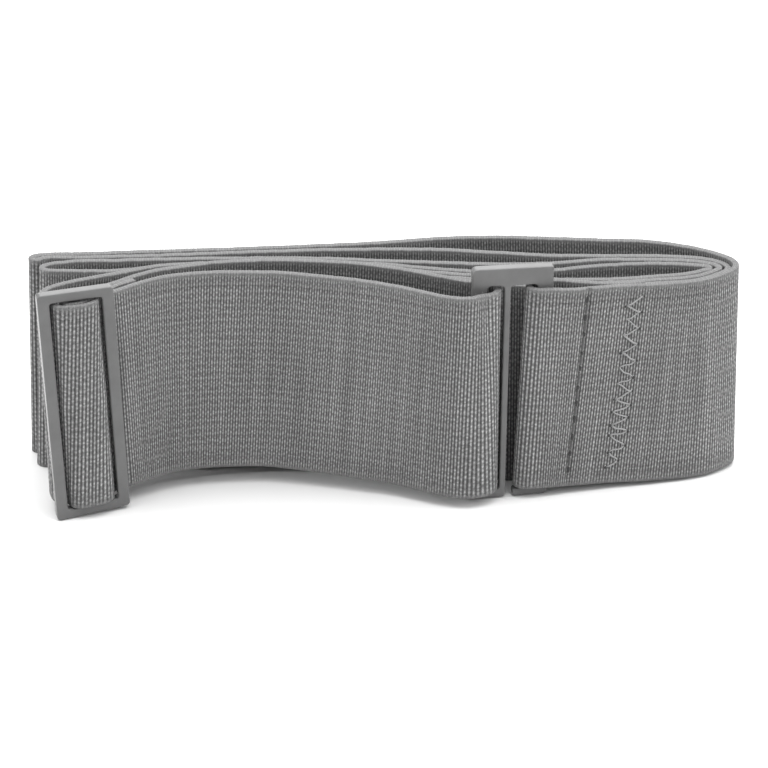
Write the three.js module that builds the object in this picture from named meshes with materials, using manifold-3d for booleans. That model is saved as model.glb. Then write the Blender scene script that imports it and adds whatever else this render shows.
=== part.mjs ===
// Elastic stretch belt, folded into a pack that stands on its long edge.
// Millimetres, +Z up. The pack's length runs along X and its layers are stacked along Y, with the face that
// carries the slide and the hook clasp at the low-Y side.
import * as THREE from "three";
import { mergeVertices } from "three/addons/utils/BufferGeometryUtils.js";
import Module from "manifold-3d";

const wasm = await Module();
wasm.setup();

// ---------------------------------------------------------------- driving dimensions
const WEB_WIDTH = 50; // elastic webbing, across the belt
const WEB_THICK = 1.3;
const RESTING = 0.06; // lower edges closer to the surface than this lie on it
const SEWN = 0.8, STRETCHED = 0.75; // the webbing thins to these shares under the seams and where it is pulled over the slide's bar

const SLIDE = {
  width: 16.9, height: 56.4, thick: 2.2,
  side: 2.6, rail: 2.25, // the two outer bars and the top and bottom rails
  barLeft: 7.3, barRight: 9.6, barThick: 1.0, // centre bar, in the rear half of the frame
  corner: 1.0, bevel: 0.3,
  x: -72.45, y: -9.3, z: 0.02, yaw: 15, lean: -0.9, tilt: -3.1, twist: 0.7, // place of its lower left corner
  webFoot: 2.6, webWide: 51, // the webbing's lower edge above the frame's foot, and its width where the frame spreads it
};
const HOOK = {
  width: 18.1, height: 57.3, thick: 2.2,
  leg: 3.4, topRail: 4.3, footRail: 1.8,
  barLeft: 7.25, barRight: 8.65, // bar between the closed slot and the open one
  gate: 10.3, // where the foot rail of the open slot ends: the band slips in between it and the bar
  corner: 1.0, squareCorner: 0.45, bevel: 0.3,
  x: 18.45, y: -1.05, z: 0.5, yaw: 9.7, lean: -1.4, tilt: 1.3, twist: 0.24,
  webFoot: 2.35, webWide: 50,
};

// ---------------------------------------------------------------- frames: local x across, y to the rear, z up
const rad = THREE.MathUtils.degToRad;
function placement(f) {
  const m = new THREE.Matrix4().makeRotationFromEuler(new THREE.Euler(rad(f.lean), rad(f.tilt), rad(f.yaw), "ZXY"));
  return m.setPosition(f.x, f.y, f.z);
}
// The frames have sprung a little out of flat: each corner stands off the mean plane by the twist.
const twisted = (f, v) => v.setY(v.y - f.twist * ((2 * v.x) / f.width - 1) * ((2 * v.z) / f.height - 1));
const inFrame = (f, x, y, z) => twisted(f, new THREE.Vector3(x, y, z)).applyMatrix4(placement(f));

function roundedShape(corners) {
  // corners: {x, y, r}, anticlockwise
  const s = new THREE.Path(), n = corners.length;
  const toward = (a, b, d) => {
    const l = Math.hypot(b.x - a.x, b.y - a.y);
    return [a.x + ((b.x - a.x) * d) / l, a.y + ((b.y - a.y) * d) / l];
  };
  corners.forEach((c, i) => {
    const before = corners[(i + n - 1) % n], after = corners[(i + 1) % n];
    const [ax, ay] = toward(c, before, c.r), [bx, by] = toward(c, after, c.r);
    if (i === 0) s.moveTo(ax, ay);
    else s.lineTo(ax, ay);
    s.quadraticCurveTo(c.x, c.y, bx, by);
  });
  s.closePath();
  return s;
}
const boxCorners = (x0, y0, x1, y1, r) => [
  { x: x0, y: y0, r }, { x: x1, y: y0, r }, { x: x1, y: y1, r }, { x: x0, y: y1, r },
];

function plate(outline, holes, thick, bevel) {
  const shape = new THREE.Shape(roundedShape(outline).getPoints(3));
  shape.holes = holes.map((h) => new THREE.Path(roundedShape(h).getPoints(3)));
  const g = new THREE.ExtrudeGeometry(shape, {
    depth: thick - 2 * bevel, bevelThickness: bevel, bevelSize: bevel, bevelOffset: -bevel, bevelSegments: 2,
    steps: 1, curveSegments: 3,
  });
  // shape x, y, extrusion -> frame x, z and depth from the front face
  return g.translate(0, 0, bevel).applyMatrix4(new THREE.Matrix4().set(1, 0, 0, 0, 0, 0, -1, thick, 0, 1, 0, 0, 0, 0, 0, 1));
}

function solid(geometry) {
  const g = geometry.index ? geometry.toNonIndexed() : geometry.clone();
  for (const name of ["normal", "uv"]) if (g.getAttribute(name)) g.deleteAttribute(name);
  const m = mergeVertices(g, 1e-4);
  return new wasm.Manifold(
    new wasm.Mesh({ numProp: 3, vertProperties: m.attributes.position.array, triVerts: new Uint32Array(m.index.array) }),
  );
}
function geometryOf(manifold) {
  const m = manifold.getMesh();
  const g = new THREE.BufferGeometry();
  g.setAttribute("position", new THREE.BufferAttribute(new Float32Array(m.vertProperties), 3));
  g.setIndex(new THREE.BufferAttribute(new Uint32Array(m.triVerts), 1));
  return g;
}
function twist(geometry, f) {
  const p = geometry.attributes.position, v = new THREE.Vector3();
  for (let i = 0; i < p.count; i++) {
    twisted(f, v.fromBufferAttribute(p, i));
    p.setXYZ(i, v.x, v.y, v.z);
  }
  geometry.computeVertexNormals();
  return geometry;
}

function slideGeometry() {
  const s = SLIDE, r = 0.7;
  const ring = plate(
    boxCorners(0, 0, s.width, s.height, s.corner),
    [boxCorners(s.side, s.rail, s.width - s.side, s.height - s.rail, r)],
    s.thick, s.bevel,
  );
  // the centre bar is thinner, flush with the rear, and runs into both rails
  const bar = new THREE.BoxGeometry(s.barRight - s.barLeft, s.barThick, s.height - s.rail);
  bar.translate((s.barLeft + s.barRight) / 2, s.thick - 0.05 - s.barThick / 2, s.height / 2);
  return twist(geometryOf(solid(ring).add(solid(bar))), s);
}

function hookGeometry() {
  const h = HOOK, top = h.height - h.topRail, inner = 1.1, tip = 0.8;
  // one outline: round the closed slot's side, along the top, down the right leg and back along its foot to the gate
  const outline = [
    { x: 0, y: 0, r: h.corner },
    { x: h.barRight, y: 0, r: h.corner },
    { x: h.barRight, y: top, r: inner },
    { x: h.width - h.leg, y: top, r: inner },
    { x: h.width - h.leg, y: h.footRail, r: inner / 2 },
    { x: h.gate, y: h.footRail, r: tip },
    { x: h.gate, y: 0, r: tip },
    { x: h.width, y: 0, r: h.corner },
    { x: h.width, y: h.height, r: h.squareCorner },
    { x: 0, y: h.height, r: h.corner + 0.3 },
  ];
  const slot = boxCorners(h.leg, h.footRail, h.barLeft, top, inner);
  return twist(plate(outline, [slot], h.thick, h.bevel), h);
}

// ---------------------------------------------------------------- the webbing's route
// y of each layer's upper edge at stations along the pack, back layer first. "face" is the layer that carries the seams.
const STATIONS = [
  { x: -75, back: 22.35, second: 20.85 },
  { x: -68, back: 22.6, second: 21.0, third: 19.3, fourth: 14.9 },
  { x: -60, back: 23.1, second: 21.35, third: 19.55, fourth: 14.9 },
  { x: -45, back: 24.1, second: 22.2, third: 20.3, fourth: 17.8, fifth: 16.0 },
  { x: -30, back: 25.1, second: 23.4, third: 20.6, fourth: 18.9, fifth: 17.2, sixth: 15.6, seventh: 14.0 },
  { x: -15, back: 26.3, second: 24.3, third: 20.5, fourth: 18.85, fifth: 17.2, sixth: 15.6, seventh: 14.0 },
  { x: 0, back: 27.8, second: 24.7, third: 19.4, fourth: 17.75, fifth: 16.1, sixth: 14.45, seventh: 12.8 },
  { x: 12, back: 29.6, second: 24.5, third: 18.6, fourth: 15.65, fifth: 13.95, sixth: 12.25, seventh: 10.55 },
  { x: 24, back: 30.0, second: 23.3, third: 17.9, fourth: 14.3, fifth: 12.3, sixth: 10.55, seventh: 8.8 },
  { x: 36, back: 29.2, second: 21.9, third: 18.2, fourth: 14.9, fifth: 11.1, sixth: 9.6, seventh: 8.1 },
  { x: 48, back: 28.0, second: 21.7, third: 19.9, fourth: 17.2, fifth: 10.95, sixth: 9.4, seventh: 7.85, face: 4.3 },
  { x: 59, back: 26.9, second: 21.6, third: 19.9, fourth: 18.2, fifth: 12.15, sixth: 10.65, seventh: 9.15, face: 6.5 },
  { x: 68, back: 24.2, second: 21.0, third: 19.35, fourth: 17.7, fifth: 13.9, sixth: 12.15, seventh: 10.4, face: 8.7 },
];
// Height of a layer's lower edge over the surface, where it isn't 0.
const LIFTS = [
  { x: -60, fifth: 2.4 }, { x: -45, fifth: 0.9 }, { x: -30, fifth: 0.3, sixth: 0.8, seventh: 0.8 }, { x: -15, fifth: 0, sixth: 0, seventh: 0 },
  { x: 12, back: 0 }, { x: 36, back: 0.3 }, { x: 48, back: 0.5, face: 1.75 }, { x: 59, back: 0.7, face: 1.1 }, { x: 68, back: 0.8, face: 0.8 },
];
// How far a layer's upper edge stands further back than its lower edge, where it isn't upright.
const LEANS = [
  { x: -75, back: -0.3, second: -0.3 }, { x: -68, third: 0.9, fourth: 0.9 }, { x: -60, back: -0.4, second: -0.4, third: 0.6, fourth: 0.6 },
  { x: -45, back: -0.3, second: -0.3, third: 0, fourth: 0 }, { x: -30, back: 0, second: 0 },
];
function along(table, layer, x) {
  const rows = table.filter((r) => r[layer] !== undefined);
  if (!rows.length) return 0;
  if (x <= rows[0].x) return rows[0][layer];
  for (let i = 1; i < rows.length; i++)
    if (x <= rows[i].x) return THREE.MathUtils.mapLinear(x, rows[i - 1].x, rows[i].x, rows[i - 1][layer], rows[i][layer]);
  return rows[rows.length - 1][layer];
}
function run(layer, from, to) {
  const rows = STATIONS.filter((r) => r[layer] !== undefined && r.x >= Math.min(from, to) && r.x <= Math.max(from, to));
  if (from > to) rows.reverse();
  return rows.map((r) => {
    const lean = along(LEANS, layer, r.x);
    return { x: r.x, y: r[layer] - lean, lift: along(LIFTS, layer, r.x), lean };
  });
}
// A fold's rows: x, y of the middle; lift of the lower edge; lean and slant, how far the upper edge stands further back
// and further right.
const foot = (rows, common = {}) => rows.map(([x, y, l = 0, lean = 0, slant = 0]) => ({ x, y, lift: l, lean, slant, ...common }));
// Rows in a frame's own plane: x across and y to the rear; skew, how far the upper edge is shifted along x; rise of the
// lower edge over the frame's usual one; and the webbing's width there.
const wrap = (f, rows, thin = 1) => rows.map(([x, y, skew = 0, rise = 0, wide = f.webWide]) => ({ frame: f, x, y, skew, rise, wide, thin }));

const ROUTE = [
  // sewn tail, behind the face layer, from its cut end to the hook's right leg
  ...foot([[54.6, 7.12, 1.35], [48, 5.9, 1.75]], { thin: SEWN }), ...foot([[42, 5.5, 2.1, 0.5]]),
  // loop round the right leg
  ...wrap(HOOK, [[18.6, 3.25, 0.5], [15.6, 3.2, 1.2], [13.2, 3.15, 1.6], [11.75, 2.5, 1.7], [11.15, 1.1, 1.7], [11.75, -0.35, 1.7], [13.2, -1.0, 1.6], [16.2, -1.05, 0.9]]),
  // face layer, out to the right end
  ...foot([[38.6, 1.95, 2.2]]), ...run("face", 48, 68),
  ...foot([[72.2, 10.3, 0.8], [75.3, 12.5, 0.8], [77.4, 14.6, 0.8], [77.9, 16.5, 0.8], [77.0, 18.6, 0.8], [74.6, 20.7, 0.8]]),
  ...run("back", 68, -75),
  // outer left fold
  ...foot([[-77.2, 22.45, 0, -0.5, 0.2], [-78.2, 22.15, 0, -0.6, 0.4], [-78.65, 21.45, 0, -0.6, 0.4], [-78.2, 20.75, 0, -0.6, 0.4], [-77.2, 20.45, 0, -0.5, 0.2]], { whole: true }),
  ...run("second", -75, 68),
  // second bend from outside at the right end
  ...foot([[71.2, 20.3], [74.1, 19.0], [75.65, 17.65], [76.2, 16.4], [75.75, 15.1], [74.3, 13.75], [72.2, 12.2]]),
  ...run("seventh", 68, -30),
  // fold hidden inside the pack
  ...foot([[-39, 13.2, 0.9], [-41, 13.05, 0.9], [-41.6, 13.3, 0.9], [-41.85, 13.9, 0.9], [-41.6, 14.5, 0.9], [-41, 14.75, 0.9], [-39, 14.9, 0.9]]),
  ...run("sixth", -30, 68),
  // third bend
  ...foot([[71.3, 13.6], [73.25, 14.9], [74.25, 16.2], [73.65, 17.4], [71.8, 18.4]]),
  ...run("third", 68, -68),
  // inner left fold, open
  ...foot([[-72.6, 17.6, 0, 0.9, 0.4], [-75.4, 17.05, 0, 0.9, 1.1], [-76.7, 16.45, 0, 0.9, 1.4], [-77.2, 15.55, 0, 0.9, 1.5], [-76.7, 14.65, 0, 0.9, 1.4], [-75.3, 14.15, 0, 0.9, 1.1], [-72.5, 14.0, 0, 0.9, 0.4]], { whole: true }),
  ...run("fourth", -68, 68),
  // innermost bend
  ...foot([[71.0, 17.1], [71.75, 16.85], [72.05, 16.25], [71.75, 15.6], [71.0, 15.3]]),
  ...run("fifth", 68, -45),
  ...foot([[-53, 13.0, 1.6], [-60, 9.2, 2.2], [-66, 6.2, 2.6]]), ...foot([[-70.5, 3.6, 3.0, 0, -0.3], [-72.85, 1.0, 3.35, 0, -0.9], [-73.6, -1.5, 3.5, 0, -1.5], [-73.55, -3.6, 3.35, 0, -1.9]], { whole: true }),
  // behind the slide's left bar, over its centre bar and behind its right bar
  ...wrap(SLIDE, [[1.05, 3.7, 0, 0.3, 50.2]]),
  ...wrap(SLIDE, [[2.7, 3.05, 0, 0.1, 50.6], [3.65, 1.7], [4.2, 0.2], [5.8, -0.75], [8.4, -0.98], [11.4, -0.75], [12.8, 0.2], [13.25, 1.5], [13.75, 2.85, 0, 0.2, 50.4]], STRETCHED),
  ...wrap(SLIDE, [[15.4, 3.35, 0, 0.4, 50]]),
  // front strip from the slide to the hook
  ...foot([[-56, -0.45, 4.1, 0.6], [-52.3, 1.8, 4.3, 0.7], [-47.3, 4.5, 4.5, 0], [-40.8, 6.1, 4.6, -0.5], [-34, 7.0, 4.5, -0.8], [-26, 7.35, 4.3, -0.8],
    [-19, 6.2, 4.05, 0], [-11.6, 4.8, 3.75, 0.5], [-5, 3.1, 3.5, 1.0], [2, 1.5, 3.2, 0.8], [8, -0.9, 2.95, 1.1], [13, -2.9, 2.75, 1.4], [17.8, -3.95, 2.6, 2.0], [20.6, -3.6, 2.55, 2.4],
    [22.8, -2.5, 2.5, 2.5], [24.2, -0.8, 2.5, 2.3], [24.5, 1.1, 2.5, 2.1], [23.4, 2.9, 2.5, 2.0],
    // return strip, behind it
    [20.6, 3.75, 2.55, 1.6], [16.5, 5.2, 2.6, 1.0], [12, 7.0, 2.8, 0.6], [6, 9.1, 3.05, 0.2], [0, 10.6, 3.4], [-10, 11.9, 3.85], [-18.5, 12.1, 4.1], [-26, 12.1, 4.25], [-32, 11.6, 4.3],
    [-38.5, 10.6, 4.3], [-45, 9.0, 4.25], [-50, 7.5, 4.2], [-54.5, 5.3, 4.1]]),
  // sewn loop round the slide's centre bar, its cut end between the two strips
  ...wrap(SLIDE, [[15.4, 6.9, 0, 0.4, 50], [12.6, 6.45, 0, 0.4, 50]]),
  ...wrap(SLIDE, [[10.3, 4.9, 0, 0.2, 50.4], [8.6, 3.35], [6.8, 2.95], [5.75, 1.8], [6.3, 0.6], [7.5, 0.32], [9.4, 0.32], [10.7, 0.85], [11.15, 2.1], [11.7, 3.5, 0, 0.2, 50.4], [13.0, 4.75, 0, 0.4, 50]], STRETCHED),
  ...wrap(SLIDE, [[15.4, 5.1, 0, 0.4, 50]]),
  ...foot([[-55.6, 2.75, 4.1, 0.4], [-52.5, 4.3, 4.2, 0.3]], { thin: STRETCHED }),
];

// Lower and upper edge of the webbing's middle surface at each row.
function edges(rows) {
  const low = rows.map((r) => (r.frame ? inFrame(r.frame, r.x, r.y, r.frame.webFoot + r.rise) : new THREE.Vector3(r.x, r.y, r.lift)));
  const high = rows.map((r, i) => {
    if (r.frame) return inFrame(r.frame, r.x + r.skew, r.y, r.frame.webFoot + r.rise + r.wide);
    // square to the band's own direction, as woven, or a fold that leans as a whole
    const along = low[Math.min(i + 1, rows.length - 1)].clone().sub(low[Math.max(i - 1, 0)]).normalize();
    const up = new THREE.Vector3((r.slant || 0) / WEB_WIDTH, (r.lean || 0) / WEB_WIDTH, 1);
    if (!r.whole) up.addScaledVector(along, -up.dot(along));
    up.normalize();
    return low[i].clone().addScaledVector(up, WEB_WIDTH);
  });
  return [low, high];
}

function webbingGeometry() {
  const [low, high] = edges(ROUTE);
  const lowCurve = new THREE.CatmullRomCurve3(low, false, "centripetal");
  const highCurve = new THREE.CatmullRomCurve3(high, false, "centripetal");
  const last = ROUTE.length - 1, stations = [];
  for (let i = 0; i < last; i++) {
    const steps = Math.min(4, Math.max(2, Math.round(low[i].distanceTo(low[i + 1]) / 4)));
    for (let k = 0; k < steps; k++) stations.push({ i, s: k / steps });
  }
  stations.push({ i: last - 1, s: 1 });
  const section = stations.map(({ i, s }) => {
    const t = (i + s) / last;
    return {
      a: lowCurve.getPoint(t), b: highCurve.getPoint(t),
      thick: WEB_THICK * THREE.MathUtils.lerp(ROUTE[i].thin || 1, ROUTE[i + 1].thin || 1, s),
    };
  });
  const vertices = [], faces = [], n = section.length;
  section.forEach((c, j) => {
    const p = section[Math.max(j - 1, 0)], q = section[Math.min(j + 1, n - 1)];
    for (const [end, before, after] of [[c.a, p.a, q.a], [c.b, p.b, q.b]]) {
      const along = after.clone().sub(before);
      const side = along.cross(c.b.clone().sub(c.a)).normalize().multiplyScalar(c.thick / 2);
      for (const v of [end.clone().add(side), end.clone().sub(side)]) {
        if (v.z < RESTING) v.setZ(0); // the lower edge rests flat on the surface
        vertices.push(...v.toArray());
      }
    }
  });
  // corners of a section: 0 low +, 1 low -, 2 high +, 3 high -
  const ring = [0, 1, 3, 2];
  for (let j = 0; j < n - 1; j++)
    ring.forEach((c, k) => {
      const d = ring[(k + 1) % 4], o = 4 * j;
      faces.push(o + c, o + d, o + 4 + c, o + d, o + 4 + d, o + 4 + c);
    });
  faces.push(0, 2, 3, 0, 3, 1);
  const e = 4 * (n - 1);
  faces.push(e, e + 1, e + 3, e, e + 3, e + 2);
  const g = new THREE.BufferGeometry();
  g.setAttribute("position", new THREE.BufferAttribute(new Float32Array(vertices), 3));
  g.setIndex(faces);
  g.computeVertexNormals();
  return g;
}

// ---------------------------------------------------------------- assembly
const elastic = () => new THREE.MeshStandardMaterial({ color: 0x7d7d7d, roughness: 0.9, metalness: 0 });
const painted = () => new THREE.MeshStandardMaterial({ color: 0x747474, roughness: 0.42, metalness: 0.1 });

const belt = new THREE.Group();
belt.name = "elastic_stretch_belt";

const webbing = new THREE.Mesh(webbingGeometry(), elastic());
webbing.name = "webbing";
const slide = new THREE.Mesh(slideGeometry(), painted());
slide.name = "slide_adjuster";
const hook = new THREE.Mesh(hookGeometry(), painted());
hook.name = "hook_clasp";
for (const [mesh, f] of [[slide, SLIDE], [hook, HOOK]]) {
  mesh.position.set(f.x, f.y, f.z);
  mesh.rotation.set(rad(f.lean), rad(f.tilt), rad(f.yaw), "ZXY");
}

// The origin is the middle of the footprint, on the surface that the belt stands on.
const pack = new THREE.Group();
pack.add(webbing, slide, hook);
pack.updateMatrixWorld(true);
const box = new THREE.Box3().setFromObject(pack, true);
pack.position.set(-(box.min.x + box.max.x) / 2, -(box.min.y + box.max.y) / 2, -box.min.z);
belt.add(pack);

export default belt;
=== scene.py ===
import math

import bpy
import bmesh
import numpy as np
from mathutils import Matrix, Vector


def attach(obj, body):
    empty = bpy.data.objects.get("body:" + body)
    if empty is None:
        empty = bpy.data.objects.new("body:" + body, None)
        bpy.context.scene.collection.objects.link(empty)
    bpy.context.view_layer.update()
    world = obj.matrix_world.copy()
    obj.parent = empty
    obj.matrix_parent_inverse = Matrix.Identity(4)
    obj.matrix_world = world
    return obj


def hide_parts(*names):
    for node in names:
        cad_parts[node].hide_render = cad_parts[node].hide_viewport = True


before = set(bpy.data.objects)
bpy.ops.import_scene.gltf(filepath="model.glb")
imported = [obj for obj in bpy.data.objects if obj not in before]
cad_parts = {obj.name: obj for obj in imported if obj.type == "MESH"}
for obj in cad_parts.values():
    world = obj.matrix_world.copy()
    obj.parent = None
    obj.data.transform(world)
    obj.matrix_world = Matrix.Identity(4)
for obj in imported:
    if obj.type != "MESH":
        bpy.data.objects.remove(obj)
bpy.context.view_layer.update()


rng = np.random.default_rng(7)

# ---------------------------------------------------------------- driving sizes, millimetres
WEB_WIDTH = 50.0
WEB_THICK = 1.42  # over the ribs' crests
SEWN, STRETCHED = 0.86, 0.75
RELAXED = 0.6  # rib pitch along the belt where nothing pulls it
RIB_DEPTH = 0.1
PER_RIB = 4

SLIDE = dict(
    width=16.9, height=56.4, thick=2.2, side=2.6, rail=2.25, bar_left=7.3, bar_right=9.6, bar_thick=1.0,
    x=-72.45, y=-9.3, z=0.02, yaw=15.0, lean=-0.9, tilt=-3.1, twist=0.7, foot=2.6, wide=51.0,
)
HOOK = dict(
    width=18.1, height=57.3, thick=2.2, leg=3.4, top_rail=4.3, foot_rail=1.8, bar_left=7.25, bar_right=8.65, gate=10.3,
    x=18.45, y=-1.05, z=0.5, yaw=9.7, lean=-1.4, tilt=1.3, twist=0.24, foot=2.35, wide=50.0,
)
# The row's origin is the middle of the footprint.
OFFSET = np.array([0.3764038, -10.4055148, 0.0])


# ---------------------------------------------------------------- hardware frames: local x across, y to the rear, z up
def placement(f):
    m = Matrix.Rotation(math.radians(f["yaw"]), 4, "Z") @ Matrix.Rotation(math.radians(f["lean"]), 4, "X") @ Matrix.Rotation(math.radians(f["tilt"]), 4, "Y")
    return Matrix.Translation((f["x"], f["y"], f["z"])) @ m


def twisted(f, p):
    p = np.array(p, float)
    p[..., 1] -= f["twist"] * (2 * p[..., 0] / f["width"] - 1) * (2 * p[..., 2] / f["height"] - 1)
    return p


def in_frame(f, x, y, z):
    m = np.array(placement(f))
    return m[:3, :3] @ twisted(f, (x, y, z)) + m[:3, 3]


# ---------------------------------------------------------------- the webbing's route, as in the CAD part
LAYERS = ("back", "second", "third", "fourth", "fifth", "sixth", "seventh", "face")
_ = None
STATIONS = [
    # x, then the upper edge's y for each layer
    (-75, 22.35, 20.85, _, _, _, _, _, _),
    (-68, 22.6, 21.0, 19.3, 14.9, _, _, _, _),
    (-60, 23.1, 21.35, 19.55, 14.9, _, _, _, _),
    (-45, 24.1, 22.2, 20.3, 17.8, 16.0, _, _, _),
    (-30, 25.1, 23.4, 20.6, 18.9, 17.2, 15.6, 14.0, _),
    (-15, 26.3, 24.3, 20.5, 18.85, 17.2, 15.6, 14.0, _),
    (0, 27.8, 24.7, 19.4, 17.75, 16.1, 14.45, 12.8, _),
    (12, 29.6, 24.5, 18.6, 15.65, 13.95, 12.25, 10.55, _),
    (24, 30.0, 23.3, 17.9, 14.3, 12.3, 10.55, 8.8, _),
    (36, 29.2, 21.9, 18.2, 14.9, 11.1, 9.6, 8.1, _),
    (48, 28.0, 21.7, 19.9, 17.2, 10.95, 9.4, 7.85, 4.3),
    (59, 26.9, 21.6, 19.9, 18.2, 12.15, 10.65, 9.15, 6.5),
    (68, 24.2, 21.0, 19.35, 17.7, 13.9, 12.15, 10.4, 8.7),
]
LIFTS = {
    "fifth": [(-60, 2.4), (-45, 0.9), (-30, 0.3), (-15, 0)],
    "sixth": [(-30, 0.8), (-15, 0)],
    "seventh": [(-30, 0.8), (-15, 0)],
    "back": [(12, 0), (36, 0.3), (48, 0.5), (59, 0.7), (68, 0.8)],
    "face": [(48, 1.75), (59, 1.1), (68, 0.8)],
}
LEANS = {
    "back": [(-75, -0.3), (-60, -0.4), (-45, -0.3), (-30, 0)],
    "second": [(-75, -0.3), (-60, -0.4), (-45, -0.3), (-30, 0)],
    "third": [(-68, 0.9), (-60, 0.6), (-45, 0)],
    "fourth": [(-68, 0.9), (-60, 0.6), (-45, 0)],
}


def along(table, layer, x):
    rows = table.get(layer)
    return float(np.interp(x, *zip(*rows))) if rows else 0.0


def run(layer, a, b):
    k = LAYERS.index(layer) + 1
    rows = [r for r in STATIONS if r[k] is not None and min(a, b) <= r[0] <= max(a, b)]
    if a > b:
        rows.reverse()
    out = []
    for r in rows:
        lean = along(LEANS, layer, r[0])
        out.append(dict(x=r[0], y=r[k] - lean, lift=along(LIFTS, layer, r[0]), lean=lean, slant=0.0))
    return out


def foot(rows, **common):
    return [dict(zip(("x", "y", "lift", "lean", "slant"), tuple(r) + (0.0,) * (5 - len(r)))) | common for r in rows]


def wrap(f, rows, thin=1.0):
    full = [tuple(r) + (0.0, 0.0, f["wide"])[len(r) - 2:] for r in rows]
    return [dict(frame=f, x=x, y=y, skew=skew, rise=rise, wide=wide, thin=thin) for x, y, skew, rise, wide in full]


ROUTE = [
    # sewn tail, then the loop round the hook's right leg
    *foot([(54.6, 7.12, 1.35), (48, 5.9, 1.75)], thin=SEWN), *foot([(42, 5.5, 2.1, 0.5)]),
    *wrap(HOOK, [(18.6, 3.25, 0.5), (15.6, 3.2, 1.2), (13.2, 3.15, 1.6), (11.75, 2.5, 1.7), (11.15, 1.1, 1.7), (11.75, -0.35, 1.7), (13.2, -1.0, 1.6), (16.2, -1.05, 0.9)]),
    # face layer and the outer right bend
    *foot([(38.6, 1.95, 2.2)]), *run("face", 48, 68),
    *foot([(72.2, 10.3, 0.8), (75.3, 12.5, 0.8), (77.4, 14.6, 0.8), (77.9, 16.5, 0.8), (77.0, 18.6, 0.8), (74.6, 20.7, 0.8)]),
    *run("back", 68, -75),
    *foot([(-77.2, 22.45, 0, -0.5, 0.2), (-78.2, 22.15, 0, -0.6, 0.4), (-78.65, 21.45, 0, -0.6, 0.4), (-78.2, 20.75, 0, -0.6, 0.4), (-77.2, 20.45, 0, -0.5, 0.2)], whole=True),
    *run("second", -75, 68),
    *foot([(71.2, 20.3), (74.1, 19.0), (75.65, 17.65), (76.2, 16.4), (75.75, 15.1), (74.3, 13.75), (72.2, 12.2)]),
    *run("seventh", 68, -30),
    *foot([(-39, 13.2, 0.9), (-41, 13.05, 0.9), (-41.6, 13.3, 0.9), (-41.85, 13.9, 0.9), (-41.6, 14.5, 0.9), (-41, 14.75, 0.9), (-39, 14.9, 0.9)]),
    *run("sixth", -30, 68),
    *foot([(71.3, 13.6), (73.25, 14.9), (74.25, 16.2), (73.65, 17.4), (71.8, 18.4)]),
    *run("third", 68, -68),
    *foot([(-72.6, 17.6, 0, 0.9, 0.4), (-75.4, 17.05, 0, 0.9, 1.1), (-76.7, 16.45, 0, 0.9, 1.4), (-77.2, 15.55, 0, 0.9, 1.5), (-76.7, 14.65, 0, 0.9, 1.4), (-75.3, 14.15, 0, 0.9, 1.1), (-72.5, 14.0, 0, 0.9, 0.4)], whole=True),
    *run("fourth", -68, 68),
    *foot([(71.0, 17.1), (71.75, 16.85), (72.05, 16.25), (71.75, 15.6), (71.0, 15.3)]),
    *run("fifth", 68, -45),
    *foot([(-53, 13.0, 1.6), (-60, 9.2, 2.2), (-66, 6.2, 2.6)]), *foot([(-70.5, 3.6, 3.0, 0, -0.3), (-72.85, 1.0, 3.35, 0, -0.9), (-73.6, -1.5, 3.5, 0, -1.5), (-73.55, -3.6, 3.35, 0, -1.9)], whole=True),
    # round the slide's bars
    *wrap(SLIDE, [(1.05, 3.7, 0, 0.3, 50.2)]),
    *wrap(SLIDE, [(2.7, 3.05, 0, 0.1, 50.6), (3.65, 1.7), (4.2, 0.2), (5.8, -0.75), (8.4, -0.98), (11.4, -0.75), (12.8, 0.2), (13.25, 1.5), (13.75, 2.85, 0, 0.2, 50.4)], STRETCHED),
    *wrap(SLIDE, [(15.4, 3.35, 0, 0.4, 50)]),
    # front strip, round the hook's left leg, return strip
    *foot([
        (-56, -0.45, 4.1, 0.6), (-52.3, 1.8, 4.3, 0.7), (-47.3, 4.5, 4.5, 0), (-40.8, 6.1, 4.6, -0.5), (-34, 7.0, 4.5, -0.8), (-26, 7.35, 4.3, -0.8),
        (-19, 6.2, 4.05, 0), (-11.6, 4.8, 3.75, 0.5), (-5, 3.1, 3.5, 1.0), (2, 1.5, 3.2, 0.8), (8, -0.9, 2.95, 1.1), (13, -2.9, 2.75, 1.4), (17.8, -3.95, 2.6, 2.0), (20.6, -3.6, 2.55, 2.4),
        (22.8, -2.5, 2.5, 2.5), (24.2, -0.8, 2.5, 2.3), (24.5, 1.1, 2.5, 2.1), (23.4, 2.9, 2.5, 2.0),
        (20.6, 3.75, 2.55, 1.6), (16.5, 5.2, 2.6, 1.0), (12, 7.0, 2.8, 0.6), (6, 9.1, 3.05, 0.2), (0, 10.6, 3.4), (-10, 11.9, 3.85), (-18.5, 12.1, 4.1), (-26, 12.1, 4.25), (-32, 11.6, 4.3),
        (-38.5, 10.6, 4.3), (-45, 9.0, 4.25), (-50, 7.5, 4.2), (-54.5, 5.3, 4.1),
    ]),
    # sewn loop round the slide's centre bar
    *wrap(SLIDE, [(15.4, 6.9, 0, 0.4, 50), (12.6, 6.45, 0, 0.4, 50)]),
    *wrap(SLIDE, [(10.3, 4.9, 0, 0.2, 50.4), (8.6, 3.35), (6.8, 2.95), (5.75, 1.8), (6.3, 0.6), (7.5, 0.32), (9.4, 0.32), (10.7, 0.85), (11.15, 2.1), (11.7, 3.5, 0, 0.2, 50.4), (13.0, 4.75, 0, 0.4, 50)], STRETCHED),
    *wrap(SLIDE, [(15.4, 5.1, 0, 0.4, 50)]),
    *foot([(-55.6, 2.75, 4.1, 0.4), (-52.5, 4.3, 4.2, 0.3)], thin=STRETCHED),
]


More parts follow.
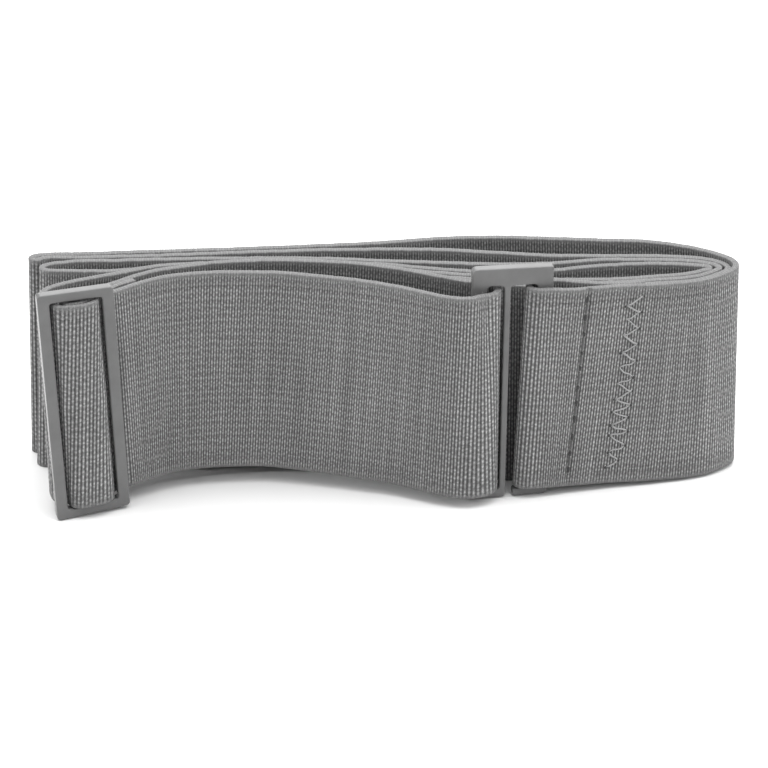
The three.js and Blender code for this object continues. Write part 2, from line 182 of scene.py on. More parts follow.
def edges(rows):
    low = np.array([in_frame(r["frame"], r["x"], r["y"], r["frame"]["foot"] + r["rise"]) if "frame" in r else (r["x"], r["y"], r["lift"]) for r in rows])
    high = []
    for i, r in enumerate(rows):
        if "frame" in r:
            high.append(in_frame(r["frame"], r["x"] + r["skew"], r["y"], r["frame"]["foot"] + r["rise"] + r["wide"]))
            continue
        t = low[min(i + 1, len(rows) - 1)] - low[max(i - 1, 0)]
        t /= np.linalg.norm(t)
        up = np.array([r["slant"] / WEB_WIDTH, r["lean"] / WEB_WIDTH, 1.0])
        if not r.get("whole"):
            up -= t * (up @ t)
        high.append(low[i] + up / np.linalg.norm(up) * WEB_WIDTH)
    return low, np.array(high)


def catmull(points, i, s):
    """Centripetal Catmull-Rom through points, at segment i (array) and share s of it (array)."""
    p = np.vstack([2 * points[0] - points[1], points, 2 * points[-1] - points[-2]])
    p0, p1, p2, p3 = p[i], p[i + 1], p[i + 2], p[i + 3]
    d0 = np.linalg.norm(p1 - p0, axis=1) ** 0.5
    d1 = np.linalg.norm(p2 - p1, axis=1) ** 0.5
    d2 = np.linalg.norm(p3 - p2, axis=1) ** 0.5
    d1 = np.where(d1 < 1e-4, 1.0, d1)
    d0 = np.where(d0 < 1e-4, d1, d0)
    d2 = np.where(d2 < 1e-4, d1, d2)
    d0, d1, d2 = d0[:, None], d1[:, None], d2[:, None]
    t1 = (p1 - p0) / d0 - (p2 - p0) / (d0 + d1) + (p2 - p1) / d1
    t2 = (p2 - p1) / d1 - (p3 - p1) / (d1 + d2) + (p3 - p2) / d2
    t1, t2 = t1 * d1, t2 * d1
    s = s[:, None]
    return p1 + t1 * s + (-3 * p1 + 3 * p2 - 2 * t1 - t2) * s**2 + (2 * p1 - 2 * p2 + t1 + t2) * s**3


LOW, HIGH = edges(ROUTE)
THIN = np.array([r.get("thin", 1.0) for r in ROUTE])
THIN[-2:] = 0.88, 1.05  # the cut end springs back to its full thickness
last = len(ROUTE) - 1
fine_i = np.repeat(np.arange(last), 60)
fine_s = np.tile(np.arange(60) / 60, last)
fine_a, fine_b = catmull(LOW, fine_i, fine_s), catmull(HIGH, fine_i, fine_s)
fine_mid = (fine_a + fine_b) / 2
fine_arc = np.concatenate([[0], np.cumsum(np.linalg.norm(np.diff(fine_mid, axis=0), axis=1))])
BELT = float(fine_arc[-1])
row_arc = fine_arc[::60]  # distance along the belt at each row of ROUTE


def at(u):
    """Segment and share for each distance u along the belt's middle."""
    g = np.interp(u, fine_arc, np.arange(len(fine_arc)))
    k = g / 60
    i = np.minimum(k.astype(int), last - 1)
    return i, k - i


def surface(u, v, out):
    """Points at distance u along the belt, v across it from the lower edge and out from its middle surface (arrays)."""
    u = np.asarray(u, float)
    i, s = at(u)
    a, b = catmull(LOW, i, s), catmull(HIGH, i, s)
    e = 0.15
    i2, s2 = at(np.minimum(u + e, BELT))
    i1, s1 = at(np.maximum(u - e, 0))
    ta, tb = catmull(LOW, i2, s2) - catmull(LOW, i1, s1), catmull(HIGH, i2, s2) - catmull(HIGH, i1, s1)
    f = (np.asarray(v, float) / WEB_WIDTH)[:, None]
    t = ta * (1 - f) + tb * f
    n = np.cross(t, b - a)
    n /= np.linalg.norm(n, axis=1)[:, None]
    p = a * (1 - f) + b * f
    p[:, 2] = np.maximum(p[:, 2], 0.0)
    return p + n * np.asarray(out, float)[:, None], n


def thin_at(u):
    i, s = at(u)
    return THIN[i] * (1 - s) + THIN[i + 1] * s


def mesh_object(name, verts, faces, mats=(), smooth=True):
    me = bpy.data.meshes.new(name)
    me.from_pydata([tuple(v) for v in verts], [], [tuple(int(k) for k in f) for f in faces])
    for m in mats:
        me.materials.append(m)
    if smooth:
        me.polygons.foreach_set("use_smooth", [True] * len(me.polygons))
    me.update()
    o = bpy.data.objects.new(name, me)
    bpy.context.scene.collection.objects.link(o)
    return o


def metres(p):
    return (np.asarray(p) + OFFSET) * 1e-3


# ---------------------------------------------------------------- materials
# Weave: strength of each part of the pattern, as the exponent of the tone, and the tone of the plain yarn. CREST's
# darker grooves are partly painted shade.
CREST, TURNED, LONG, IN_LINE = 0.74, 0.28, 0.10, 0.14
TONE = 0.135


def new_material(name):
    m = bpy.data.materials.new(name)
    m.use_nodes = True
    nt = m.node_tree
    nt.nodes.clear()
    out = nt.nodes.new("ShaderNodeOutputMaterial")
    sh = nt.nodes.new("ShaderNodeBsdfPrincipled")
    nt.links.new(sh.outputs[0], out.inputs[0])
    return m, nt, sh


class Build:
    """Short ways to add math nodes."""

    def __init__(self, nt):
        self.nt = nt

    def put(self, sock, value):
        if hasattr(value, "links") or isinstance(value, bpy.types.NodeSocket):
            self.nt.links.new(value, sock)
        else:
            sock.default_value = value

    def math(self, op, a, b=0.0, c=0.0, clamp=False):
        n = self.nt.nodes.new("ShaderNodeMath")
        n.operation, n.use_clamp = op, clamp
        for k, v in enumerate((a, b, c)):
            self.put(n.inputs[k], v)
        return n.outputs[0]

    def ramp(self, fac, stops, interpolation="LINEAR"):
        n = self.nt.nodes.new("ShaderNodeValToRGB")
        n.color_ramp.interpolation = interpolation
        els = n.color_ramp.elements
        while len(els) < len(stops):
            els.new(0.5)
        for e, (p, c) in zip(els, stops):
            e.position = p
            e.color = (c, c, c, 1) if not hasattr(c, "__len__") else (*c, 1)
        self.put(n.inputs[0], fac)
        return n.outputs[0]

    def noise(self, vec, scale, detail=3.0, rough=0.55, dims="3D"):
        n = self.nt.nodes.new("ShaderNodeTexNoise")
        n.noise_dimensions = dims
        self.put(n.inputs["Vector"], vec)
        n.inputs["Scale"].default_value = scale
        n.inputs["Detail"].default_value = detail
        n.inputs["Roughness"].default_value = rough
        return n.outputs["Fac"]

    def combine(self, x, y, z=0.0):
        n = self.nt.nodes.new("ShaderNodeCombineXYZ")
        for k, v in enumerate((x, y, z)):
            self.put(n.inputs[k], v)
        return n.outputs[0]

    def mix(self, fac, a, b):
        n = self.nt.nodes.new("ShaderNodeMix")
        n.data_type = "RGBA"
        self.put(n.inputs[0], fac)
        for k, v in ((6, a), (7, b)):
            self.put(n.inputs[k], (*v, 1) if isinstance(v, tuple) and len(v) == 3 else v)
        return n.outputs[2]


def webbing_material():
    m, nt, sh = new_material("webbing_elastic")
    b = Build(nt)
    att = nt.nodes.new("ShaderNodeAttribute")
    att.attribute_name = "belt"  # x: ribs along the belt, y: millimetres across it, z: side
    sep = nt.nodes.new("ShaderNodeSeparateXYZ")
    nt.links.new(att.outputs["Vector"], sep.inputs[0])
    u, v, w = sep.outputs
    rib = b.math("FLOOR", b.math("ADD", u, 0.5))
    jitter = b.math("SUBTRACT", b.noise(b.combine(b.math("MULTIPLY", rib, 1.7), b.math("MULTIPLY", v, 0.4), w), 1.0, 1.0), 0.5)
    y = b.math("MULTIPLY_ADD", jitter, 1.7, v)

    def wave(x, period, start=0.0):
        return b.math("COSINE", b.math("MULTIPLY_ADD", x, 2 * math.pi / period, start))

    # crest and groove of each rib, then the yarns that cross it: some in line from rib to rib, some on every other one
    in_line = b.math("MULTIPLY_ADD", wave(y, 1.83, 0.9), IN_LINE, b.math("MULTIPLY", wave(y, 0.915, 2.1), IN_LINE / 2))
    turned = b.math("MULTIPLY_ADD", wave(y, 1.22), TURNED, b.math("MULTIPLY", wave(y, 3.66, 1.7), LONG))
    weave = b.math("MULTIPLY_ADD", wave(u, 2.0), turned, in_line)
    # lighter crests and darker grooves: partly the yarns' own pattern, partly painted shade in the grooves
    weave = b.math("MULTIPLY_ADD", wave(u, 1.0), CREST, weave)
    # plain selvedge, a band with flatter ribs, then the body
    inner = b.math("MULTIPLY", b.math("MINIMUM", v, b.math("SUBTRACT", WEB_WIDTH, v)), 0.25)
    body = b.ramp(inner, [(0.0, 0.14), (0.15, 0.26), (0.25, 0.8), (0.76, 0.85), (0.86, 1.0)])
    edge = b.math("SUBTRACT", b.ramp(inner, [(0.0, 0.58), (0.19, 0.60), (0.27, 0.50), (0.74, 0.50), (0.81, 0.27), (0.88, 0.5)]), 0.5)
    fibre = b.noise(b.combine(b.math("MULTIPLY", u, 2.6), b.math("MULTIPLY", v, 1.9), w), 1.0, 4.0, 0.75)
    lone = b.noise(b.combine(b.math("MULTIPLY", rib, 0.63), b.math("MULTIPLY", v, 0.02), w), 1.0, 2.0)
    patch = b.noise(b.combine(b.math("MULTIPLY", u, 0.03), b.math("MULTIPLY", v, 0.07), w), 1.0, 3.0)
    level = b.math("MULTIPLY_ADD", weave, body, edge)
    for n, k in ((fibre, 2.4), (lone, 0.7), (patch, 0.35)):
        level = b.math("MULTIPLY_ADD", b.math("SUBTRACT", n, 0.5), k, level)
    col = b.math("MINIMUM", b.math("MULTIPLY", b.math("EXPONENT", level), TONE), 0.6)
    nt.links.new(col, sh.inputs["Base Color"])
    sh.inputs["Roughness"].default_value = 0.9
    sh.inputs["Specular IOR Level"].default_value = 0.12
    sh.inputs["Sheen Weight"].default_value = 0.05
    sh.inputs["Sheen Roughness"].default_value = 0.5
    raised = b.math("MULTIPLY", b.math("MULTIPLY", weave, body), 0.035)
    height = b.math("MULTIPLY", b.math("MULTIPLY_ADD", fibre, 0.05, raised), 0.001)
    bump = nt.nodes.new("ShaderNodeBump")
    bump.inputs["Strength"].default_value = 1.0
    bump.inputs["Distance"].default_value = 1.0
    nt.links.new(height, bump.inputs["Height"])
    nt.links.new(bump.outputs[0], sh.inputs["Normal"])
    return m


def hardware_material():
    m, nt, sh = new_material("hardware_coating")
    b = Build(nt)
    tc = nt.nodes.new("ShaderNodeTexCoord")
    obj = tc.outputs["Object"]
    fine = b.noise(obj, 5200.0, 4.0, 0.6)
    broad = b.noise(obj, 210.0, 4.0, 0.6)
    col = b.ramp(broad, [(0.3, 0.124), (0.7, 0.144)])
    nt.links.new(col, sh.inputs["Base Color"])
    rough = b.math("MULTIPLY_ADD", broad, 0.14, 0.17)
    nt.links.new(rough, sh.inputs["Roughness"])
    sh.inputs["Metallic"].default_value = 0.0
    sh.inputs["Specular IOR Level"].default_value = 0.2
    sh.inputs["Coat Weight"].default_value = 0.05
    sh.inputs["Coat Roughness"].default_value = 0.12
    bump = nt.nodes.new("ShaderNodeBump")
    bump.inputs["Strength"].default_value = 1.0
    bump.inputs["Distance"].default_value = 1.0
    nt.links.new(b.math("MULTIPLY", b.math("ADD", b.math("MULTIPLY", fine, 0.08), b.math("MULTIPLY", broad, 1.0)), 0.00004), bump.inputs["Height"])
    nt.links.new(bump.outputs[0], sh.inputs["Normal"])
    return m


def thread_material(name, light, dark):
    m, nt, sh = new_material(name)
    b = Build(nt)
    tc = nt.nodes.new("ShaderNodeTexCoord")
    n = b.noise(tc.outputs["Object"], 4200.0, 3.0, 0.6)
    nt.links.new(b.ramp(n, [(0.3, dark), (0.7, light)]), sh.inputs["Base Color"])
    sh.inputs["Roughness"].default_value = 0.7
    sh.inputs["Sheen Weight"].default_value = 0.3
    bump = nt.nodes.new("ShaderNodeBump")
    bump.inputs["Distance"].default_value = 1.0
    nt.links.new(b.math("MULTIPLY", n, 0.00005), bump.inputs["Height"])
    nt.links.new(bump.outputs[0], sh.inputs["Normal"])
    return m


ELASTIC = webbing_material()
COATING = hardware_material()
THREAD = thread_material("thread_light", 0.33, 0.19)
# straight seam's thread, darkened well below its own tone to paint the shade of the seam's valley
THREAD_VALLEY_SHADED = thread_material("thread_painted_valley_shade", 0.075, 0.045)
# near-black stand-in for the shade inside the needle holes: painted shade, not a thread colour
HOLE_SHADE_PAINT = thread_material("painted_hole_shade", 0.018, 0.01)
FIBRE = thread_material("loose_fibre", 0.30, 0.20)

# ---------------------------------------------------------------- webbing
def first(test):
    """Distance along the belt of the first row of ROUTE that passes the test."""
    return float(row_arc[next(i for i, r in enumerate(ROUTE) if test(r))])


END = BELT - 0.9  # the cut end lies a little short of the last row
U_FACE = first(lambda r: r["x"] == 38.6)
U_STRIP = first(lambda r: r["x"] == -56)
U_SLIDE = first(lambda r: r.get("frame") is SLIDE)
U_FOLD = first(lambda r: r["x"] == -78.65)  # tip of the first fold, which is pressed shut

# Rib pitch in millimetres, by distance from an anchor on the belt: pulled open round the bars and at the seams.
PITCH = [
    (U_FACE, [(-13, 0.6), (-9.5, 0.72), (-5.5, 0.749), (-1, 0.546), (8.2, 0.666), (21.9, 0.601), (28.9, 0.57), (35.1, 0.587), (42, 0.6)]),
    (U_STRIP, [
        (-34, 0.6), (-24, 0.65), (-15.4, 0.797), (-10.9, 0.81), (0, 0.6), (9.1, 0.545), (13.7, 0.565), (18.2, 0.593), (24.9, 0.613), (31.5, 0.599),
        (38.2, 0.586), (45, 0.569), (51.7, 0.555), (58.5, 0.546), (65.5, 0.557), (72.6, 0.583), (77.1, 0.683), (81.7, 0.794), (87, 0.75), (95, 0.6),
    ]),
]
# Lean of the ribs, millimetres along the belt per millimetre across it.
SLANT = [
    (U_FACE, [(-10, 0), (2, 0.035), (8, 0.05), (22, 0.04), (38, 0.02), (55, 0)]),
    (U_STRIP, [(-24, 0), (-17, 0.09), (-9, 0.09), (0, 0.02), (10, 0.024), (40, 0.027), (60, 0.02), (75, 0)]),
]
# Stretches of the belt whose ribs are cut as relief; the rest lies inside the pack.
OPEN = [(22.0, 252.0), (U_SLIDE - 18, U_STRIP + 90)]
SEAM, ZIGZAG = 2.93, (11.85, 15.45)  # distances of the seams from the face layer's anchor


def by_anchor(tables, u, outside):
    value = np.full(len(u), float(outside))
    for anchor, rows in tables:
        x, y = np.array(rows, float).T
        d = u - anchor
        value = np.where((d >= x[0]) & (d <= x[-1]), np.interp(d, x, y), value)
    return value


grid = np.linspace(0, BELT, 40001)
grid_phase = np.concatenate([[0], np.cumsum(np.diff(grid) / by_anchor(PITCH, (grid[1:] + grid[:-1]) / 2, RELAXED))])


def slant_at(u):
    return by_anchor(SLANT, np.asarray(u, float), 0.0)


def slid(u, v):
    """Distance along the belt of a point v across it, on the rib that crosses the middle at u."""
    u = np.asarray(u, float)
    return np.clip(u + slant_at(u) * (np.asarray(v, float) - WEB_WIDTH / 2), 0, BELT)


def stations():
    """Distances along the belt: four to a rib where the relief shows, else as close as the bends need."""
    g = np.arange(0, BELT, 0.25)
    bend = np.zeros(len(g))
    for line in (fine_a, fine_b, fine_mid):
        p = np.stack([np.interp(g, fine_arc, line[:, k]) for k in range(3)], 1)
        t = np.gradient(p, axis=0)
        t /= np.linalg.norm(t, axis=1)[:, None] + 1e-9
        bend = np.maximum(bend, np.linalg.norm(np.gradient(t, axis=0), axis=1) / 0.25)
    bend = np.max([np.roll(bend, k) for k in range(-3, 4)], axis=0)
    step = np.clip(0.2 / (bend + 1e-6), 0.15, 1.2)
    out, u = [], 0.0
    while u < END - 0.1:
        out.append(u)
        zone = next((z for z in OPEN if z[0] <= u < z[1]), None)
        if zone:
            q = math.floor(np.interp(u, grid, grid_phase) * PER_RIB + 1e-4) + 1
            u = float(np.interp(q / PER_RIB, grid_phase, grid))
        else:
            ahead = u + float(np.interp(u, g, step))
            starts = [z[0] for z in OPEN if u < z[0] <= ahead]
            u = starts[0] if starts else ahead
    return np.array(out + [END])


U = stations()
n_st = len(U)
phase = np.interp(U, grid, grid_phase)


def groove(u):
    """Ribs' relief, 0 on the crest and -1 in the groove, for a phase in ribs."""
    return -(0.5 - 0.5 * np.cos(2 * np.pi * u)) ** 0.8


# Cross-section: (height above the lower edge, share of the half thickness, share of the rib relief)
half_profile = [(0.0, 0.78, 0.0), (0.07, 0.94, 0.04), (0.32, 1.0, 0.2), (0.9, 1.0, 0.5), (3.2, 1.0, 1.0)]
PROFILE = half_profile + [(WEB_WIDTH / 2, 1.0, 1.0)] + [(WEB_WIDTH - v, a, r) for v, a, r in half_profile[::-1]]

# side of the belt that faces out on the face layer
_p, _n = surface(np.array([U_FACE + 10.0]), np.array([25.0]), np.array([0.0]))
FACE_SIDE = 1.0 if _n[0, 1] < 0 else -1.0


def make_webbing():
    ring_v, ring_side, ring_share, ring_relief = [], [], [], []
    for side in (1, -1):
        rows = PROFILE if side == 1 else PROFILE[::-1]
        for v, share, relief in rows:
            ring_v.append(v), ring_side.append(side), ring_share.append(share), ring_relief.append(relief)
    k = len(ring_v)
    wander = 0.02 * np.sin(U / 2.3 + 1.0) + 0.015 * np.sin(U / 0.9) + rng.normal(0, 0.03, n_st)
    shown = np.max([np.clip((U - a) / 3, 0, 1) * np.clip((b - U) / 3, 0, 1) for a, b in OPEN], axis=0)
    g = groove(phase) * shown - 0.5 * (1 - shown)
    valley = 0.36 * np.exp(-(((U - U_FACE - SEAM) / 0.7) ** 2)) + 0.08 * np.exp(-(((U - U_FACE - np.mean(ZIGZAG)) / 2.2) ** 2))
    pressed = 0.27 * np.sqrt(np.clip(1 - np.abs(U - U_FOLD) / 3.0, 0, 1))
    verts = np.zeros((n_st, k, 3))
    belt = np.zeros((n_st, k, 3))
    for j in range(k):
        v = np.full(n_st, ring_v[j])
        if ring_v[j] > WEB_WIDTH - 1:
            v = v + wander
        u = slid(U, v)
        half = WEB_THICK / 2 * thin_at(u)
        out = half * ring_share[j] + RIB_DEPTH * ring_relief[j] * g * thin_at(u)
        if ring_side[j] == -FACE_SIDE:
            out = out + pressed * ring_share[j]
        else:
            out = out - valley * (0.4 if ring_v[j] in (0.0, WEB_WIDTH) else 1.0)
        p, _n = surface(u, v, ring_side[j] * out)
        p[:, 2] = np.maximum(p[:, 2], 0.0)
        verts[:, j] = p
        belt[:, j] = np.stack([phase, np.full(n_st, ring_v[j]), np.full(n_st, ring_side[j] * 3.0)], 1)
    faces = []
    base = np.arange(n_st - 1)[:, None] * k
    for j in range(k):
        j2 = (j + 1) % k
        faces.append(np.concatenate([base + j, base + j2, base + k + j2, base + k + j], 1))
    faces = np.concatenate(faces)
    faces = [tuple(f) for f in faces.tolist()]
    # closed ends: strips between matching points of the two sides
    m = len(PROFILE)
    for start, flip in ((0, False), ((n_st - 1) * k, True)):
        for j in range(m - 1):
            q = (start + j, start + k - 1 - j, start + k - 2 - j, start + j + 1)
            faces.append(q if not flip else q[::-1])
    o = mesh_object("webbing_cloth", metres(verts.reshape(-1, 3)), faces, [ELASTIC])
    me = o.data
    bm = bmesh.new()
    bm.from_mesh(me)
    bmesh.ops.recalc_face_normals(bm, faces=bm.faces)
    bm.to_mesh(me)
    bm.free()
    a = me.attributes.new("belt", "FLOAT_VECTOR", "POINT")
    a.data.foreach_set("vector", belt.reshape(-1).astype(np.float32))
    return o


webbing = make_webbing()
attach(webbing, "root")
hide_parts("webbing")


# ---------------------------------------------------------------- hardware
def rounded(corners, n=7):
    pts = []
    m = len(corners)
    for i, (x, y, r) in enumerate(corners):
        c = np.array([x, y], float)
        before, after = np.array(corners[i - 1][:2], float), np.array(corners[(i + 1) % m][:2], float)
        a = c + (before - c) / np.linalg.norm(before - c) * r
        b = c + (after - c) / np.linalg.norm(after - c) * r
        t = np.linspace(0, 1, n)[:, None]
        pts += list((1 - t) ** 2 * a + 2 * t * (1 - t) * c + t**2 * b)
    return pts


def rect(x0, y0, x1, y1, r):
    return [(x0, y0, r), (x1, y0, r), (x1, y1, r), (x0, y1, r)]


def plate(name, outlines, thick, bevel, segments=4):
    """Bevelled plate from a 2-D outline with holes. Local x across, z up, front face at y = 0."""
    cu = bpy.data.curves.new(name, "CURVE")
    cu.dimensions = "2D"
    cu.fill_mode = "BOTH"
    cu.extrude = thick / 2 - bevel
    cu.bevel_depth = bevel
    cu.bevel_resolution = segments
    cu.offset = -bevel
    for pts in outlines:
        s = cu.splines.new("POLY")
        s.points.add(len(pts) - 1)
        for p, q in zip(s.points, pts):
            p.co = (q[0], q[1], 0, 1)
        s.use_cyclic_u = True
    o = bpy.data.objects.new(name + "_c", cu)
    bpy.context.scene.collection.objects.link(o)
    bpy.context.view_layer.update()
    me = bpy.data.meshes.new_from_object(o.evaluated_get(bpy.context.evaluated_depsgraph_get()))
    bpy.data.objects.remove(o)
    me.transform(Matrix(((1, 0, 0, 0), (0, 0, -1, thick / 2), (0, 1, 0, 0), (0, 0, 0, 1))))
    return me


def finish_hardware(name, me, f, node):
    bm = bmesh.new()
    bm.from_mesh(me)
    bmesh.ops.remove_doubles(bm, verts=bm.verts, dist=0.004)
    # long faces are cut across, so that the twist bends them
    for z in np.linspace(2, f["height"] - 2, 9):
        geom = bm.verts[:] + bm.edges[:] + bm.faces[:]
        bmesh.ops.bisect_plane(bm, geom=geom, plane_co=(0, 0, float(z)), plane_no=(0, 0, 1))
    bmesh.ops.recalc_face_normals(bm, faces=bm.faces)
    bm.to_mesh(me)
    bm.free()
    co = np.zeros(len(me.vertices) * 3)
    me.vertices.foreach_get("co", co)
    co = twisted(f, co.reshape(-1, 3))
    m = np.array(placement(f))
    co = metres(co @ m[:3, :3].T + m[:3, 3])
    me.vertices.foreach_set("co", co.reshape(-1))
    me.materials.clear()
    me.materials.append(COATING)
    me.polygons.foreach_set("use_smooth", [True] * len(me.polygons))
    me.update()
    o = bpy.data.objects.new(name, me)
    bpy.context.scene.collection.objects.link(o)
    w = o.modifiers.new("normals", "WEIGHTED_NORMAL")
    w.keep_sharp = True
    w.weight = 80
    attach(o, "root")
    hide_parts(node)
    return o


def make_hook():
    h = HOOK
    top, inner, tip = h["height"] - h["top_rail"], 1.1, 0.8
    outline = [
        (0, 0, 1.0), (h["bar_right"], 0, 1.0), (h["bar_right"], top, inner), (h["width"] - h["leg"], top, inner),
        (h["width"] - h["leg"], h["foot_rail"], inner / 2), (h["gate"], h["foot_rail"], tip), (h["gate"], 0, tip), (h["width"], 0, 1.0),
        (h["width"], h["height"], 0.45), (0, h["height"], 1.3),
    ]
    slot = rect(h["leg"], h["foot_rail"], h["bar_left"], top, inner)
    me = plate("hook_clasp_coated", [rounded(outline), rounded(slot)[::-1]], h["thick"], 0.34)
    return finish_hardware("hook_clasp_coated", me, h, "hook_clasp")


def make_slide():
    s = SLIDE
    me = plate("slide_coated", [rounded(rect(0, 0, s["width"], s["height"], 1.0)), rounded(rect(s["side"], s["rail"], s["width"] - s["side"], s["height"] - s["rail"], 0.7))[::-1]], s["thick"], 0.34)
    bm = bmesh.new()
    bm.from_mesh(me)
    r = bmesh.ops.create_cube(bm, size=1.0)
    wide, high = s["bar_right"] - s["bar_left"], s["height"] - 2 * s["rail"] + 0.6
    for v in r["verts"]:
        v.co = Vector((v.co.x * wide + (s["bar_left"] + s["bar_right"]) / 2, v.co.y * s["bar_thick"] + s["thick"] - 0.05 - s["bar_thick"] / 2, v.co.z * high + s["height"] / 2))
    bm.to_mesh(me)
    bm.free()
    return finish_hardware("slide_coated", me, s, "slide_adjuster")


hook = make_hook()
slide = make_slide()


# ---------------------------------------------------------------- seams on the face layer, loose fibres on the edges
def on_face(du, v, over):
    """Points at du from the face layer's anchor, v across and over the ribs' crests."""
    du, v = np.broadcast_arrays(np.atleast_1d(np.asarray(du, float)), np.atleast_1d(np.asarray(v, float)))
    u = slid(U_FACE + du, v)
    half = WEB_THICK / 2 * thin_at(u)
    p, _n = surface(u, v, FACE_SIDE * (half + np.broadcast_to(over, u.shape)))
    return p


def tube(name, paths, radius, mat, sides=6, parent=None):
    verts, faces = [], []
    for path, rad in ((p, radius) if not isinstance(p, tuple) else p for p in paths):
        path = np.asarray(path, float)
        n = len(path)
        t = np.gradient(path, axis=0)
        t /= np.linalg.norm(t, axis=1)[:, None]
        ref = np.array([0.0, -1.0, 0.25])
        s1 = np.cross(t, ref)
        s1 /= np.linalg.norm(s1, axis=1)[:, None]
        s2 = np.cross(t, s1)
        ends = np.ones(n)
        ends[0] = ends[-1] = 0.45
        base = len(verts)
        for i in range(n):
            for k in range(sides):
                a = 2 * math.pi * k / sides
                verts.append(path[i] + rad * ends[i] * (math.cos(a) * s1[i] + math.sin(a) * s2[i]))
        for i in range(n - 1):
            for k in range(sides):
                k2 = (k + 1) % sides
                faces.append((base + i * sides + k, base + i * sides + k2, base + (i + 1) * sides + k2, base + (i + 1) * sides + k))
        faces.append(tuple(base + k for k in range(sides))[::-1])
        faces.append(tuple(base + (n - 1) * sides + k for k in range(sides)))
    o = mesh_object(name, metres(verts), faces, [mat])
    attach(o, "root")
    return o


def make_seams():
    light, sunk, dark = [], [], []
    # straight seam: near-black sunk tubes at the needle holes, painted shade of the holes, with the thread sunk between
    # them
    v = 3.9
    while v < 48.2:
        w = v + rng.uniform(-0.3, 0.3)
        size = rng.uniform(0.5, 1.0)
        side = rng.uniform(-0.12, 0.12)
        dark.append((on_face(SEAM + side, np.linspace(w - size, w + size, 5), np.array([-0.3, -0.17, -0.12, -0.17, -0.3])), rng.uniform(0.26, 0.4)))
        # thread between the holes, in the colour darkened for the valley's painted shade
        if v + 4.3 < 48.4:
            a, b = w + size, v + 4.3 - 0.6
            f = np.linspace(0, 1, 6)
            sunk.append((on_face(SEAM + side * (1 - f), a + (b - a) * f, -0.24 + 0.10 * np.sin(np.pi * f)), 0.27))
        v += 4.3
    # zigzag: vertices alternate between its two lines of holes
    left, right = ZIGZAG
    lows = [5.8, 9.6, 13.2, 16.8, 19.9, 23.5, 27.0, 31.3, 35.4, 39.4, 43.5, 47.5]
    highs = [4.2, 8.0, 12.4, 14.9, 18.3, 21.6, 25.4, 29.5, 33.3, 37.8, 41.9, 45.1]
    points = [(left, highs[0])]
    for k, v in enumerate(lows):
        points.append((right - (1.3 if k == 0 else 0) + rng.uniform(-0.15, 0.15), v))
        if k + 1 < len(highs):
            points.append((left + rng.uniform(-0.2, 0.2), highs[k + 1]))
    for k in range(len(points) - 1):
        (u0, v0), (u1, v1) = points[k], points[k + 1]
        f = np.linspace(0, 1, 9)
        bow = 0.22 * np.sin(np.pi * f) * rng.uniform(0.2, 1.0)
        over = -0.20 + 0.31 * np.minimum(1, np.sin(np.pi * f) * rng.uniform(1.2, 1.9)) + rng.uniform(-0.07, 0.03)
        kink = rng.uniform(-0.3, 0.3) * np.sin(2 * np.pi * f)
        light.append((on_face(u0 + (u1 - u0) * f, v0 + (v1 - v0) * f - bow + kink, over), rng.uniform(0.15, 0.2)))
    # needle holes at the zigzag's corners: near-black tubes painted as the holes' shade
    for u, v in points:
        if u > 13 or rng.random() < 0.45:
            d = 0.2 if u > 13 else -0.2
            dark.append((on_face(u + d, np.linspace(v - 0.55, v + 0.2, 4), np.array([-0.18, -0.08, -0.08, -0.18])), rng.uniform(0.24, 0.38)))
    tube("webbing_zigzag", light, 0.16, THREAD)
    tube("webbing_seam_thread", sunk, 0.15, THREAD_VALLEY_SHADED)
    tube("webbing_needle_hole_shade", dark, 0.18, HOLE_SHADE_PAINT)


def make_fibres():
    hairs = []

    def hair(u, v, out, rise, swing, length):
        """A fibre from one point of the cloth: rise is across the belt, swing along it."""
        side = 1.0 if rng.random() < 0.5 else -1.0
        p, n = surface(np.array([u]), np.array([v]), np.array([out]))
        q, _n = surface(np.array([np.clip(u + 0.2, 0, BELT)]), np.array([v]), np.array([out]))
        t = q[0] - p[0]
        t /= np.linalg.norm(t) + 1e-9
        up = np.array([0, 0, 1.0])
        f = np.linspace(0, 1, 5)[:, None]
        curl = rng.uniform(-0.5, 0.5)
        path = p[0] + length * (f * (rise * up + swing * t) + curl * f**2 * t + rng.uniform(-0.35, 0.35) * f**2 * side * n[0])
        path[:, 2] = np.maximum(path[:, 2], 0.02)
        hairs.append((path, rng.uniform(0.016, 0.028)))

    for _k in range(620):
        u = rng.uniform(1, BELT - 1)
        hair(u, WEB_WIDTH - 0.05, rng.uniform(-0.5, 0.5), rng.uniform(0.35, 1.0), rng.uniform(-0.9, 0.9), rng.uniform(0.25, 0.8))
    for _k in range(90):
        hair(rng.uniform(1, BELT - 1), 0.4, rng.choice([-0.6, 0.6]), rng.uniform(-0.1, 0.3), rng.uniform(-0.9, 0.9), rng.uniform(0.3, 0.8))
    # cut ends
    for u, way in ((0.0, -1.0), (END, 1.0)):
        for v in np.linspace(0.6, WEB_WIDTH - 0.3, 120):
            half = WEB_THICK / 2 * float(thin_at(np.array([u]))[0])
            hair(abs(u - 0.05), v + rng.uniform(-0.2, 0.2), rng.uniform(-0.8, 0.8) * half, rng.uniform(-0.4, 0.4), way * rng.uniform(0.4, 1.0), rng.uniform(0.2, 0.6))
    tube("webbing_fibres", hairs, 0.02, FIBRE, sides=3)


make_seams()
make_fibres()

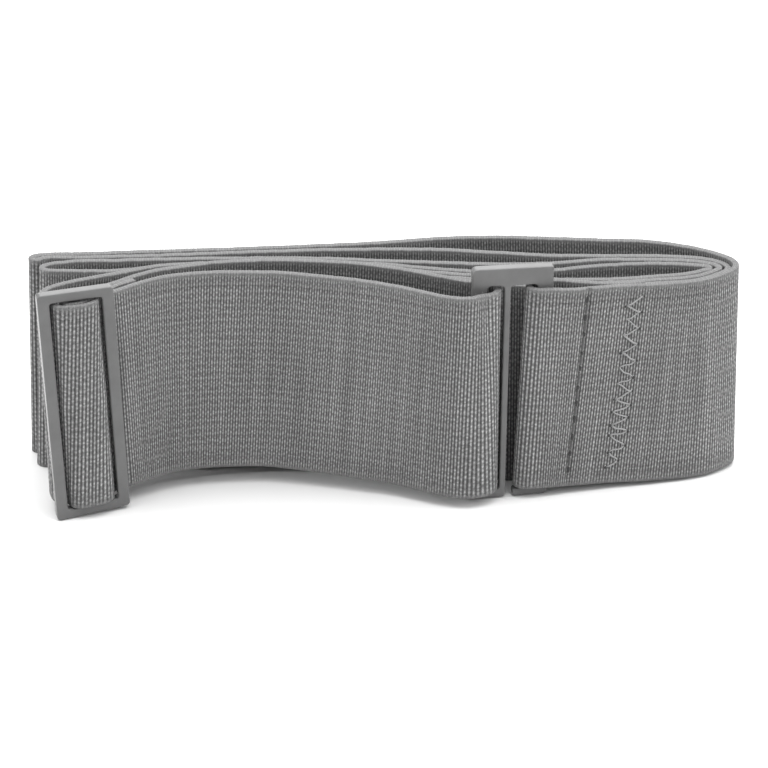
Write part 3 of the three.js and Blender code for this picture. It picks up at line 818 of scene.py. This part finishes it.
# ---------------------------------------------------------------- floor, light and camera
CAM_DISTANCE, CAM_PIXELS, CAM_EL = 1710.0, 7700.0, math.radians(30)
target = np.array([0.0, 7.8, 25.0])
forward = np.array([0.0, math.cos(CAM_EL), -math.sin(CAM_EL)])
cam = bpy.data.cameras.new("camera")
cam.sensor_width = 36.0
cam.lens = CAM_PIXELS / 768 * 36.0
cam.clip_start, cam.clip_end = 0.05, 20.0
cam_o = bpy.data.objects.new("camera", cam)
cam_o.location = Vector(metres(target - CAM_DISTANCE * forward))
cam_o.rotation_euler = (math.radians(90) - CAM_EL, 0, 0)
bpy.context.scene.collection.objects.link(cam_o)
bpy.context.scene.camera = cam_o

fm, fnt, fsh = new_material("floor_paper")
fb = Build(fnt)
ftc = fnt.nodes.new("ShaderNodeTexCoord")
fn = fb.noise(ftc.outputs["Object"], 60.0, 4.0, 0.6)
fnt.links.new(fb.ramp(fn, [(0.3, 0.69), (0.7, 0.71)]), fsh.inputs["Base Color"])
fsh.inputs["Roughness"].default_value = 0.9
floor = mesh_object("floor", [(-3, -3, 0), (3, -3, 0), (3, 3, 0), (-3, 3, 0)], [(0, 1, 2, 3)], [fm], smooth=False)


def area(name, loc, aim, size, power, size_y=None):
    li = bpy.data.lights.new(name, "AREA")
    li.shape = "RECTANGLE" if size_y else "SQUARE"
    li.size = size
    if size_y:
        li.size_y = size_y
    li.energy = power
    o = bpy.data.objects.new(name, li)
    o.location = loc
    d = Vector(aim) - Vector(loc)
    o.rotation_euler = d.to_track_quat("-Z", "Y").to_euler()
    bpy.context.scene.collection.objects.link(o)
    return o


area("top_soft", (0.0, 0.1, 1.1), (0, 0, 0.02), 1.2, 24.0)
area("left_card", (-0.95, -0.16, 0.62), (0, 0, 0.03), 1.1, 10.0)
area("right_card", (0.92, -0.25, 0.65), (0, 0, 0.03), 1.1, 13.0)
area("back_card", (0.0, 1.15, 0.68), (0, 0, 0.04), 0.9, 8.5)
world = bpy.data.worlds.new("studio")
world.use_nodes = True
world.node_tree.nodes["Background"].inputs[0].default_value = (1, 1, 1, 1)
world.node_tree.nodes["Background"].inputs[1].default_value = 0.25
bpy.context.scene.world = world
bpy.context.scene.view_settings.view_transform = "Standard"
